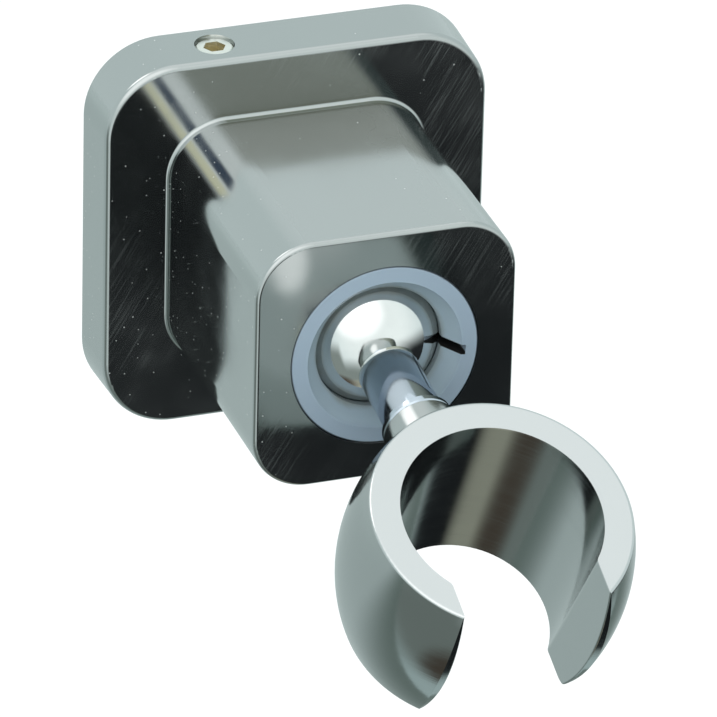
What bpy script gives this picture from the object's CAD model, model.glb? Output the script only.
import math

import bpy
from mathutils import Matrix, Vector

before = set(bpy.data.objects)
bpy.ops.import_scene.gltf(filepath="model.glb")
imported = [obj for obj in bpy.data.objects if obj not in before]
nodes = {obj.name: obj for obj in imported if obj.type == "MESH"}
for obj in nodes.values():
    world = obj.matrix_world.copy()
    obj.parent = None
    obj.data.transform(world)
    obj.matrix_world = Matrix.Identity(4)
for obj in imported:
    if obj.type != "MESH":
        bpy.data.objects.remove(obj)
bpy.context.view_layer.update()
mm = 0.001
white = (1, 1, 1, 1)
black = (0, 0, 0, 1)
print("frame loaded:", ", ".join(sorted(nodes)))


class Wire:  # a socket on its way through a node tree
    def __init__(self, tree, socket=None):
        self.tree = tree
        self.socket = socket

    def make(self, kind, settings=None, inputs=None, output=0):
        node = self.tree.nodes.new(kind)
        for name, value in (settings or {}).items():
            setattr(node, name, value)
        for name, value in (inputs or {}).items():
            if isinstance(value, Wire):
                self.tree.links.new(value.socket, node.inputs[name])
            else:
                node.inputs[name].default_value = value
        return Wire(self.tree, node.outputs[output]) if node.outputs else None

    def other(self, output):  # another output of the same node
        return Wire(self.tree, self.socket.node.outputs[output])

    def math(self, operation, first, second=0.0):
        return self.make("ShaderNodeMath", {"operation": operation}, {0: first, 1: second})

    def __add__(self, value):
        return self.math("ADD", self, value)

    def __radd__(self, value):
        return self.math("ADD", value, self)

    def __sub__(self, value):
        return self.math("SUBTRACT", self, value)

    def __rsub__(self, value):
        return self.math("SUBTRACT", value, self)

    def __mul__(self, value):
        return self.math("MULTIPLY", self, value)

    def __rmul__(self, value):
        return self.math("MULTIPLY", value, self)

    def rise(self, low, high):  # 0 below low, 1 above high, smooth between
        inputs = {0: self, 1: low, 2: high, 3: 0.0, 4: 1.0}
        return self.make("ShaderNodeMapRange", {"interpolation_type": "SMOOTHSTEP"}, inputs)

    def mix(self, first, second):  # colour blend with this wire as the share of the second
        inputs = {0: self, 6: first, 7: second}
        return self.make("ShaderNodeMix", {"data_type": "RGBA"}, inputs, 2)

    def size(self):  # without its sign
        return self.math("ABSOLUTE", self)

    def most(self, value):  # the larger of two
        return self.math("MAXIMUM", self, value)

    def along(self, way):  # length of this vector along a direction
        return self.make("ShaderNodeVectorMath", {"operation": "DOT_PRODUCT"}, {0: self, 1: way}, "Value")


def newMaterial(name):
    material = bpy.data.materials.new(name)
    material.use_nodes = True
    material.node_tree.nodes.clear()
    return material, Wire(material.node_tree)


def objectPlace(wire, scale=(1, 1, 1), turn=(0, 0, 0)):  # turned first, then stretched
    place = wire.make("ShaderNodeTexCoord", output="Object")
    inputs = {"Vector": place, "Scale": tuple(1 / part for part in scale), "Rotation": turn}
    return wire.make("ShaderNodeMapping", {"vector_type": "TEXTURE"}, inputs)


def finishMaterial(wire, inputs):
    shader = wire.make("ShaderNodeBsdfPrincipled", None, inputs)
    wire.make("ShaderNodeOutputMaterial", None, {"Surface": shader})


def noise(wire, place, scale, detail=2.0, rough=0.5):
    inputs = {"Vector": place, "Scale": scale, "Detail": detail, "Roughness": rough}
    return wire.make("ShaderNodeTexNoise", None, inputs)


def clouds(wire, scale):  # soft patches between 0 and 1
    return noise(wire, objectPlace(wire), scale, 4.0).rise(0.35, 0.75)


def bump(wire, height, depth, under=None):
    inputs = {"Height": height, "Distance": depth, "Strength": 1.0}
    if under:
        inputs["Normal"] = under
    return wire.make("ShaderNodeBump", None, inputs)


def dustSpecks(wire, cellsPerMetre, share, radius):
    inputs = {"Vector": objectPlace(wire), "Scale": cellsPerMetre}
    cells = wire.make("ShaderNodeTexVoronoi", None, inputs, "Distance")
    pick = wire.make("ShaderNodeSeparateColor", None, {0: cells.other("Color")})
    chosen = pick.rise(1 - share, 1.01 - share)  # only this share of the cells holds a speck
    near = 1 - cells.rise(radius * 0.6, radius)
    return chosen * near


def hairlines(wire, scale, turn, low, high):  # thin broken lines, as left by a polishing cloth
    return noise(wire, objectPlace(wire, scale, turn), 1.0).rise(low, high)


# plating of the wall casting, with an unplated hollow at its back
bodyChrome = dict(
    tint=(0.535, 0.56, 0.555, 1),
    rough=0.08,
    haze=0.05,
    hazeScale=140.0,
    topRough=0.07,
    topFilm=0.28,
    topFrom=9.0 * mm,
    topFade=1.0 * mm,
    film=0.09,
    filmFrom=16 * mm,
    filmTo=38 * mm,
    filmLeast=0.2,
    filmEven=0.3,
    wave=0.02 * mm,
    waveScale=60.0,
    lineScale=(6500, 6500, 120),
    lineTurn=(0.0, math.radians(31), 0.0),
    lineLow=0.48,
    lineHigh=0.66,
    lineRough=0.14,
    lineFilm=0.04,
    wornFrom=10 * mm,
    wornTo=28 * mm,
    wornScale=90.0,
    wornLow=0.35,
    wornHigh=0.6,
    frontFacing=(0.8, 0.95),  # cosines, from none to all
    topFacing=(0.90, 0.995),
    dust=0.38,
    dustCells=480.0,
    dustRadius=0.05,
    fineDust=0.40,
    fineCells=1050.0,
    fineRadius=0.10,
    fineFrom=9.0 * mm,
    fineFade=4.0 * mm,
    dustColour=(0.75, 0.78, 0.76, 1),
    dustRough=0.5,
    hollowColour=(0.44, 0.45, 0.46, 1),
    hollowRough=0.42,
    hollowDepth=7.0 * mm,
    hollowHalf=21.5 * mm,
    hollowFade=0.2 * mm,
    hollowGrain=1400.0,
    hollowPits=0.04 * mm,
)


def platedCasting(name, look):
    material, wire = newMaterial(name)
    haze = clouds(wire, look["hazeScale"])
    wave = noise(wire, objectPlace(wire), look["waveScale"], 1.0)
    place = wire.make("ShaderNodeTexCoord", output="Object")
    corner = place.along((1, 0, 1))  # rubbed towards the upper right and lower left corners
    reach = corner.size()
    worn = reach.rise(look["wornFrom"], look["wornTo"])
    patches = noise(wire, objectPlace(wire), look["wornScale"])
    worn = worn * patches.rise(look["wornLow"], look["wornHigh"])
    way = wire.make("ShaderNodeTexCoord", output="Normal")
    worn = worn * way.along((0, -1, 0)).rise(*look["frontFacing"])  # front faces only
    lines = hairlines(wire, look["lineScale"], look["lineTurn"], look["lineLow"], look["lineHigh"])
    lines = lines * worn
    film = reach.rise(look["filmFrom"], look["filmTo"]) * (1 - look["filmLeast"]) + look["filmLeast"]
    film = film * (haze * look["filmEven"] + look["filmEven"])
    width = wire.make("ShaderNodeSeparateXYZ", None, {0: place}, "X")
    leftSide = (0 - width).rise(look["fineFrom"], look["fineFrom"] + look["fineFade"])
    specks = dustSpecks(wire, look["dustCells"], look["dust"], look["dustRadius"])
    fine = dustSpecks(wire, look["fineCells"], look["fineDust"], look["fineRadius"])
    specks = specks.most(fine * leftSide)
    half = look["hollowHalf"]
    fade = look["hollowFade"]
    inside = 1 - width.size().rise(half - fade, half)
    inside = inside * (1 - width.other("Z").size().rise(half - fade, half))
    deep = width.other("Y")
    hollow = inside * deep.rise(-look["hollowDepth"], fade - look["hollowDepth"])
    hollow = hollow * (1 - deep.rise(-fade, -fade / 2))  # the rim on the wall stays plated
    grain = noise(wire, objectPlace(wire), look["hollowGrain"], 3.0, 0.7)
    plate = specks.mix(look["tint"], look["dustColour"])
    front = 1 - deep.rise(-look["topFrom"] - look["topFade"], -look["topFrom"])
    linished = way.along((0, 0, 1)).rise(*look["topFacing"]) * front  # top of the boss
    dull = specks + lines * look["lineFilm"] + film * look["film"] + linished * look["topFilm"]
    shine = haze * look["haze"] + look["rough"] + lines * look["lineRough"]
    shine = shine + specks * look["dustRough"] + linished * look["topRough"]
    normal = bump(wire, wave, look["wave"])
    normal = bump(wire, grain * hollow, look["hollowPits"], normal)
    inputs = {
        "Base Color": hollow.mix(plate, look["hollowColour"]),
        "Metallic": 1 - dull,
        "Roughness": shine + hollow * look["hollowRough"],
        "Normal": normal,
    }
    finishMaterial(wire, inputs)
    return material


# plating of the cradle: turned inside and out, brighter on its polished top face
cradleChrome = dict(
    tint=(0.50, 0.525, 0.52, 1),
    topTint=(0.70, 0.72, 0.72, 1),
    rough=0.10,
    topRough=0.15,
    haze=0.05,
    hazeScale=160.0,
    turnScale=(90, 90, 5200),
    turnLow=0.45,
    turnHigh=0.75,
    turnMarks=0.06,
    turnDepth=0.0012 * mm,
    centre=(1.8015 * mm, -73.236 * mm, -12.92 * mm),
    axis=(0.0372, -0.46512, 0.88446),
    lean=(math.radians(27.7), math.radians(2.1), 0.0),
    topFrom=11.10 * mm,
    topTo=11.40 * mm,
)


def platedCradle(name, look):
    material, wire = newMaterial(name)
    place = wire.make("ShaderNodeTexCoord", output="Object")
    up = place.along(look["axis"]) - sum(a * b for a, b in zip(look["centre"], look["axis"]))
    top = up.rise(look["topFrom"], look["topTo"])
    haze = clouds(wire, look["hazeScale"])
    turned = hairlines(wire, look["turnScale"], look["lean"], look["turnLow"], look["turnHigh"])
    marks = turned * (1 - top)
    shine = top * (look["topRough"] - look["rough"]) + look["rough"]
    inputs = {
        "Base Color": top.mix(look["tint"], look["topTint"]),
        "Metallic": 1.0,
        "Roughness": shine + marks * look["turnMarks"] + haze * look["haze"],
        "Normal": bump(wire, marks, look["turnDepth"]),
    }
    finishMaterial(wire, inputs)
    return material


# bright plating of the ball and its stem
studChrome = dict(
    ball=(0.92, 0.93, 0.92, 1),
    stem=(0.63, 0.70, 0.78, 1),
    centre=(0.0, -34.0 * mm, 0.0),
    ballTo=9.5 * mm,
    stemFrom=10.5 * mm,
    grey=(0.5, 0.5, 0.5, 1),
    greyShare=0.1,
    rough=0.06,
    haze=0.05,
    hazeScale=320.0,
    grainScale=5200.0,
    grainDepth=0.0004 * mm,
)


def brightPlate(name, look):
    material, wire = newMaterial(name)
    haze = clouds(wire, look["hazeScale"])
    grain = noise(wire, objectPlace(wire), look["grainScale"])
    place = wire.make("ShaderNodeTexCoord", output="Object")
    ends = {0: place, 1: look["centre"]}
    away = wire.make("ShaderNodeVectorMath", {"operation": "DISTANCE"}, ends, "Value")
    colour = away.rise(look["ballTo"], look["stemFrom"]).mix(look["ball"], look["stem"])
    inputs = {
        "Base Color": (haze * look["greyShare"]).mix(colour, look["grey"]),
        "Metallic": 1.0,
        "Roughness": haze * look["haze"] + look["rough"],
        "Normal": bump(wire, grain, look["grainDepth"]),
    }
    finishMaterial(wire, inputs)
    return material


# bluish white moulding, greyer down in its bore, with dirt in its slit and round its rim
ringPlastic = dict(
    rim=(0.43, 0.53, 0.64, 1),
    cone=(0.48, 0.60, 0.69, 1),
    lip=(0.345, 0.39, 0.39, 1),
    lipTo=8.6 * mm,
    rimTo=10.2 * mm,
    toneFade=0.9 * mm,
    toneWander=1.0 * mm,
    rough=0.14,
    cloudRough=0.15,
    cloudScale=260.0,
    grainScale=2500.0,
    grainDepth=0.004 * mm,
    refraction=1.48,
    softShare=0.12,
    softReach=(1.0 * mm, 1.2 * mm, 1.4 * mm),
    edgeFrom=11.72 * mm,
    edgeTo=11.84 * mm,
    edgeShare=0.8,
    dirt=(0.012, 0.012, 0.012, 1),
    dirtRough=0.4,
    slitAcross=(0.13917, 0.0, 0.99027),
    slitAt=0.642 * mm,
    slitHalf=0.62 * mm,
    slitFade=0.04 * mm,
    slitFrom=5.0 * mm,
    slitClear=5.5 * mm,
    slitTo=10.32 * mm,
)


def mouldedRing(name, look):
    material, wire = newMaterial(name)
    place = wire.make("ShaderNodeTexCoord", output="Object")
    flat = wire.make("ShaderNodeVectorMath", {"operation": "MULTIPLY"}, {0: place, 1: (1, 0, 1)})
    out = wire.make("ShaderNodeVectorMath", {"operation": "LENGTH"}, {0: flat}, "Value")
    cloud = noise(wire, objectPlace(wire), look["cloudScale"], 3.0)
    grain = noise(wire, objectPlace(wire), look["grainScale"])
    joint = out.rise(look["edgeFrom"], look["edgeTo"]) * look["edgeShare"]  # round the rim
    out = out + cloud * look["toneWander"] - look["toneWander"] / 2
    blend = look["toneFade"]
    colour = out.rise(look["lipTo"] - blend, look["lipTo"]).mix(look["lip"], look["cone"])
    colour = out.rise(look["rimTo"] - blend, look["rimTo"]).mix(colour, look["rim"])
    fade = look["slitFade"]
    off = place.along(look["slitAcross"]) - look["slitAt"]
    slit = 1 - off.size().rise(look["slitHalf"], look["slitHalf"] + fade)
    right = wire.make("ShaderNodeSeparateXYZ", None, {0: place}, "X")
    slit = slit * right.rise(look["slitFrom"], look["slitClear"])
    slit = slit * (1 - right.rise(look["slitTo"] - fade, look["slitTo"]))
    dirty = slit.most(joint)
    inputs = {
        "Base Color": dirty.mix(colour, look["dirt"]),
        "Roughness": cloud * look["cloudRough"] + look["rough"] + dirty * look["dirtRough"],
        "IOR": look["refraction"],
        "Subsurface Weight": look["softShare"],
        "Subsurface Radius": look["softReach"],
        "Normal": bump(wire, grain, look["grainDepth"]),
    }
    finishMaterial(wire, inputs)
    return material


# bright rim, brassy hexagon socket
screwSteel = dict(
    rim=(0.98, 0.98, 0.92, 1),
    socket=(0.68, 0.60, 0.35, 1),
    socketMetal=0.5,
    socketTop=24.15 * mm,
    socketFade=0.3 * mm,
    rough=0.22,
    grainRough=0.2,
    grainScale=1800.0,
    grainDepth=0.01 * mm,
)


def socketScrew(name, look):
    material, wire = newMaterial(name)
    place = wire.make("ShaderNodeTexCoord", output="Object")
    height = wire.make("ShaderNodeSeparateXYZ", None, {0: place}, "Z")
    rim = height.rise(look["socketTop"] - look["socketFade"], look["socketTop"])
    grain = noise(wire, objectPlace(wire), look["grainScale"], 3.0)
    inputs = {
        "Base Color": rim.mix(look["socket"], look["rim"]),
        "Metallic": rim * (1 - look["socketMetal"]) + look["socketMetal"],
        "Roughness": grain * look["grainRough"] + look["rough"],
        "Normal": bump(wire, grain, look["grainDepth"]),
    }
    finishMaterial(wire, inputs)
    return material


# bare metals behind the casting
castZinc = dict(
    colour=(0.50, 0.51, 0.52, 1),
    dull=(0.45, 0.46, 0.47, 1),
    dullScale=160.0,
    dullLow=0.3,
    dullHigh=0.7,
    rough=0.42,
    grainRough=0.25,
    grainScale=1400.0,
    grainDepth=0.04 * mm,
)
springSteel = dict(
    colour=(0.46, 0.46, 0.48, 1),
    dull=(0.34, 0.34, 0.35, 1),
    dullScale=160.0,
    dullLow=0.3,
    dullHigh=0.7,
    rough=0.3,
    grainRough=0.25,
    grainScale=1400.0,
    grainDepth=0.01 * mm,
)


def rawMetal(name, look):
    material, wire = newMaterial(name)
    cloud = noise(wire, objectPlace(wire), look["dullScale"], 4.0)
    grain = noise(wire, objectPlace(wire), look["grainScale"], 3.0, 0.7)
    dull = cloud.rise(look["dullLow"], look["dullHigh"])
    inputs = {
        "Base Color": dull.mix(look["colour"], look["dull"]),
        "Metallic": 1.0,
        "Roughness": grain * look["grainRough"] + look["rough"],
        "Normal": bump(wire, grain, look["grainDepth"]),
    }
    finishMaterial(wire, inputs)
    return material


# plain moulding behind the ball
padPlastic = dict(
    colour=(0.80, 0.80, 0.77, 1),
    dull=(0.70, 0.70, 0.66, 1),
    dullScale=300.0,
    dullLow=0.3,
    dullHigh=0.7,
    rough=0.45,
    dullRough=0.2,
    dullDepth=0.02 * mm,
)


def mouldedPad(name, look):
    material, wire = newMaterial(name)
    cloud = noise(wire, objectPlace(wire), look["dullScale"], 3.0)
    dull = cloud.rise(look["dullLow"], look["dullHigh"])
    inputs = {
        "Base Color": dull.mix(look["colour"], look["dull"]),
        "Roughness": cloud * look["dullRough"] + look["rough"],
        "Normal": bump(wire, cloud, look["dullDepth"]),
    }
    finishMaterial(wire, inputs)
    return material


def dress(name, material):
    mesh = nodes[name].data
    mesh.materials.clear()
    mesh.materials.append(material)


dress("bracket_body", platedCasting("bodyChrome", bodyChrome))
dress("cradle", platedCradle("cradleChrome", cradleChrome))
dress("ball_stud", brightPlate("studChrome", studChrome))
dress("retaining_ring", mouldedRing("ringPlastic", ringPlastic))
dress("grub_screw", socketScrew("screwSteel", screwSteel))
dress("wall_plate", rawMetal("castZinc", castZinc))
dress("seat_spring", rawMetal("springSteel", springSteel))
dress("pressure_pad", mouldedPad("padPlastic", padPlastic))
print("pieces dressed")


def compass(azimuth, elevation):  # azimuth 0 is the front, 90 the right
    a = math.radians(azimuth)
    e = math.radians(elevation)
    return Vector((math.sin(a) * math.cos(e), -math.cos(a) * math.cos(e), math.sin(e)))


# pale tent with three soft lights over a bench that is dark in front
# what the plating mirrors twice comes from a darker room
tent = dict(
    wall=(0.70, 0.80, 0.80, 1),
    roof=(1.0, 1.06, 1.06, 1),
    roofFrom=0.7,
    roofTo=0.95,
    lamps=[
        dict(azimuth=5, elevation=15, outer=75, inner=30, colour=(0.87, 0.95, 0.94, 1)),
        dict(azimuth=-30, elevation=42, outer=46, inner=10, colour=(1.42, 1.46, 1.46, 1)),
        dict(azimuth=-130, elevation=50, outer=20, inner=8, colour=(2.1, 2.1, 2.1, 1)),
    ],
    bench=dict(
        dark=(0.015, 0.0175, 0.019, 1),
        darkArc=dict(azimuth=45, outer=62, inner=52),
        side=(0.21, 0.25, 0.235, 1),
        band=dict(azimuth=-75, elevation=-69, outer=17, inner=5, colour=(0.076, 0.062, 0.048, 1)),
        under=dict(azimuth=-30, elevation=-82, outer=20, inner=10, colour=(0.36, 0.37, 0.30, 1)),
        back=(0.46, 0.58, 0.58, 1),
        frontArc=dict(azimuth=0, outer=123, inner=93),
        edgeFrom=-0.42,
        edgeTo=0.0,
        lowArc=dict(azimuth=-32, outer=22, inner=12),
        lowBy=0.36,
    ),
    twice=dict(
        depthFrom=2.4,  # ray depth is 1 from the camera, 2 mirrored once, 3 twice
        depthTo=2.6,
        roomLow=(0.04, 0.06, 0.06, 1),
        roomHigh=(0.48, 0.52, 0.44, 1),
        roomFrom=0.1,
        roomTo=0.95,
        roomArc=dict(azimuth=58, outer=36, inner=29),
        spots=[
            dict(azimuth=22, elevation=27, outer=20, inner=5, colour=(0.30, 0.315, 0.25, 1)),
            dict(azimuth=-20.5, elevation=26, outer=6.5, inner=3.5, colour=(0.063, 0.10, 0.17, 1)),
            dict(azimuth=-28.5, elevation=16.5, outer=6, inner=3, colour=(1.4, 1.34, 0.98, 1)),
        ],
        darkArc=dict(azimuth=28, outer=105, inner=85),
        edgeFrom=-0.30,
        edgeTo=-0.14,
        highArc=dict(azimuth=-55, outer=45, inner=25),
        highBy=0.42,
    ),
)


def within(near, outer, inner):  # share of a soft cone, from the cosine of the angle to its middle
    return near.rise(math.cos(math.radians(outer)), math.cos(math.radians(inner)))


def patch(way, look):  # soft round share of the tent
    near = way.along(compass(look["azimuth"], look["elevation"]))
    return within(near, look["outer"], look["inner"])


def hangTent(look):
    world = bpy.data.worlds.new("whiteTent")
    bpy.context.scene.world = world
    world.use_nodes = True
    world.node_tree.nodes.clear()
    wire = Wire(world.node_tree)
    way = wire.make("ShaderNodeTexCoord", output="Generated")
    height = wire.make("ShaderNodeSeparateXYZ", None, {0: way}, "Z")
    level = wire.make("ShaderNodeVectorMath", {"operation": "MULTIPLY"}, {0: way, 1: (1, 1, 0)})
    level = wire.make("ShaderNodeVectorMath", {"operation": "NORMALIZE"}, {0: level})

    def sector(arc):  # soft share of the compass
        return within(level.along(compass(arc["azimuth"], 0)), arc["outer"], arc["inner"])

    above = height.rise(look["roofFrom"], look["roofTo"]).mix(look["wall"], look["roof"])
    for lamp in look["lamps"]:
        above = patch(way, lamp).mix(above, lamp["colour"])
    bench = look["bench"]
    ahead = sector(bench["frontArc"])
    front = sector(bench["darkArc"]).mix(bench["side"], bench["dark"])
    for spot in (bench["under"], bench["band"]):
        front = patch(way, spot).mix(front, spot["colour"])
    edge = height + sector(bench["lowArc"]) * bench["lowBy"]
    once = edge.rise(bench["edgeFrom"], bench["edgeTo"]).mix(ahead.mix(bench["back"], front), above)
    again = look["twice"]
    room = height.rise(again["roomFrom"], again["roomTo"]).mix(again["roomLow"], again["roomHigh"])
    above = sector(again["roomArc"]).mix(above, room)
    for spot in again["spots"]:
        above = patch(way, spot).mix(above, spot["colour"])
    front = sector(again["darkArc"]).mix(bench["side"], bench["dark"])
    edge = height - sector(again["highArc"]) * again["highBy"]
    twice = edge.rise(again["edgeFrom"], again["edgeTo"]).mix(ahead.mix(bench["back"], front), above)
    path = wire.make("ShaderNodeLightPath", output="Ray Depth")
    colour = path.rise(again["depthFrom"], again["depthTo"]).mix(once, twice)
    colour = path.other("Is Camera Ray").mix(colour, white)
    glow = wire.make("ShaderNodeBackground", None, {"Color": colour, "Strength": 1.0})
    wire.make("ShaderNodeOutputWorld", None, {"Surface": glow})


# pale floor below and behind, darker towards its front edge, lifted to white for the camera
paleFloor = dict(
    drop=120 * mm,
    back=1500 * mm,
    side=1200 * mm,
    frontLeft=-150 * mm,
    frontRight=60 * mm,
    fade=110 * mm,
    edge=(0.20, 0.24, 0.225, 1),
    near=(0.395, 0.46, 0.46, 1),
    far=(0.52, 0.59, 0.59, 1),
    nearTo=200 * mm,
    farFrom=1100 * mm,
    lift=(0.67, 0.60, 0.60, 1),
    edgeLift=(0.90, 0.87, 0.88, 1),
    mirrored=(0.15, 0.15, 0.15, 1),
    grainScale=90.0,
    grainDepth=0.05 * mm,
)


def layFloor(look):
    bpy.ops.object.select_all(action="DESELECT")
    bpy.ops.mesh.primitive_plane_add(size=2, location=(0, 0, -look["drop"]))
    floor = bpy.context.object
    floor.name = "paleFloor"
    for corner in floor.data.vertices:  # front edge runs slanted under the object
        onRight = corner.co.x > 0
        onBack = corner.co.y > 0
        front = look["frontRight"] if onRight else look["frontLeft"]
        corner.co.x = look["side"] if onRight else -look["side"]
        corner.co.y = look["back"] if onBack else front
    material, wire = newMaterial("floorPaper")
    normal = bump(wire, noise(wire, objectPlace(wire), look["grainScale"]), look["grainDepth"])
    place = wire.make("ShaderNodeTexCoord", output="Object")
    away = wire.make("ShaderNodeVectorMath", {"operation": "LENGTH"}, {0: place}, "Value")
    colour = away.rise(look["nearTo"], look["farFrom"]).mix(look["near"], look["far"])
    across = Vector((look["frontLeft"] - look["frontRight"], 2 * look["side"], 0)).normalized()
    middle = (look["frontLeft"] + look["frontRight"]) / 2
    inward = place.along(across) - middle * across.y  # how far behind the front edge
    lit = inward.rise(0.0, look["fade"])
    colour = lit.mix(look["edge"], colour)
    paper = wire.make("ShaderNodeBsdfDiffuse", None, {"Color": colour, "Normal": normal})
    seen = wire.make("ShaderNodeLightPath", output="Is Camera Ray")
    mirrored = seen.other("Is Glossy Ray") + seen.other("Is Transmission Ray")
    under = wire.make("ShaderNodeNewGeometry", output="Backfacing")
    pale = under.mix(lit.mix(look["edgeLift"], look["lift"]), white)
    lift = seen.mix((mirrored * lit).mix(black, look["mirrored"]), pale)
    glow = wire.make("ShaderNodeEmission", None, {"Color": lift})
    both = wire.make("ShaderNodeAddShader", None, {0: paper, 1: glow})
    wire.make("ShaderNodeOutputMaterial", None, {"Surface": both})
    floor.data.materials.append(material)


hangTent(tent)
layFloor(paleFloor)
print("tent and floor set")

viewCamera = dict(
    azimuth=-19.509,
    elevation=28.338,
    roll=1.467,
    target=(-0.75 * mm, -35.0 * mm, -4.162 * mm),
    distance=1015 * mm,
    focalPixels=8358.4,
    imagePixels=717,
    sensorWidth=36,
)


def setCamera(look):
    azimuth = math.radians(look["azimuth"])
    roll = math.radians(look["roll"])
    back = compass(look["azimuth"], look["elevation"])
    level = Vector((math.cos(azimuth), math.sin(azimuth), 0))
    upright = back.cross(level)
    right = level * math.cos(roll) + upright * math.sin(roll)
    up = upright * math.cos(roll) - level * math.sin(roll)
    data = bpy.data.cameras.new("viewCamera")
    data.sensor_width = look["sensorWidth"]
    data.lens = look["focalPixels"] * look["sensorWidth"] / look["imagePixels"]
    camera = bpy.data.objects.new("viewCamera", data)
    bpy.context.scene.collection.objects.link(camera)
    turn = Matrix((right, up, back)).transposed().to_4x4()
    camera.matrix_world = Matrix.Translation(Vector(look["target"]) + back * look["distance"]) @ turn
    bpy.context.scene.camera = camera


setCamera(viewCamera)
bpy.context.scene.view_settings.view_transform = "Standard"
print("camera set")
